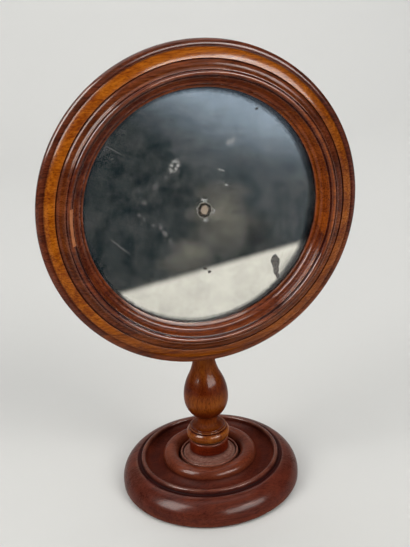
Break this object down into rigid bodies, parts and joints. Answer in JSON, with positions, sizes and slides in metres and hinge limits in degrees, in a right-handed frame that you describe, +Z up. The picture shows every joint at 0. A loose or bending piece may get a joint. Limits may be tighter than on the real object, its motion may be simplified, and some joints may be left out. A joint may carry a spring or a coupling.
{
  "type": "table mirror",
  "caption": "Round table mirror in a turned mahogany frame that tilts on a knuckle behind its middle, on a baluster stem that turns in a socket on a dished round base.",
  "frame": {"origin": "on the table under the stem's axis, at the middle of the baize pad's lower face", "axes": "+Z up along the stem, -Y the way the mirror faces, +X to the right of someone who looks into it"},
  "size_m": [0.1902, 0.1188, 0.2882],
  "materials": {
    "base_mahogany": "turned red mahogany, waxed polish",
    "socket_mahogany": "turned red mahogany, waxed polish",
    "stem_mahogany": "turned mahogany faded to a warm brown, waxed polish",
    "frame_mahogany": "turned mahogany with a faded band, waxed polish",
    "sight_mahogany": "turned red mahogany, waxed polish",
    "slip_wood": "pale let-in repair, worn polish",
    "glass": "old plate glass, faintly grey",
    "silvering": "old silvering with spots where it has gone",
    "felt": "thin pressed felt",
    "backboard_wood": "planed softwood, stained brown",
    "knuckle_mahogany": "cut mahogany, waxed polish",
    "baize": "green woollen baize, glued on",
    "leather": "oiled hide, cut to a ring",
    "brass": "turned brass, dulled with age",
    "steel": "turned steel, darkened with age"
  },
  "bodies": {
    "base": {"base_disc": "base_mahogany", "baize_pad": "baize", "stem_socket": "socket_mahogany", "swivel_leather": "leather", "screw_washer": "steel"},
    "stem": {"stem": "stem_mahogany", "stem_screw": "steel"},
    "head": {"frame_ring": "frame_mahogany", "sight_ring": "sight_mahogany", "crest_slip": "slip_wood", "mirror_glass": "glass", "silver_foil": "silvering", "packing_felt": "felt", "backboard": "backboard_wood", "backboard_screws": "steel", "knuckle_block": "knuckle_mahogany", "knuckle_screws": "steel", "friction_washers": "leather", "pivot_nut": "brass", "pivot_washer": "brass"},
    "clamp": {"thumb_screw": "brass"}
  },
  "joints": [
    {"name": "stem_swivel", "type": "hinge", "parent": "base", "child": "stem", "pos_m": [0, 0, 0.0299], "axis": [0, 0, 1], "continuous": true},
    {"name": "mirror_tilt", "type": "hinge", "parent": "stem", "child": "head", "pos_m": [0, 0, 0.19305], "axis": [-1, 0, 0], "range_deg": [-3.7, 90]},
    {"name": "thumb_screw_turn", "type": "hinge", "parent": "head", "child": "clamp", "pos_m": [0, 0, 0.19305], "axis": [1, 0, 0], "range_deg": [0, 360]}
  ]
}
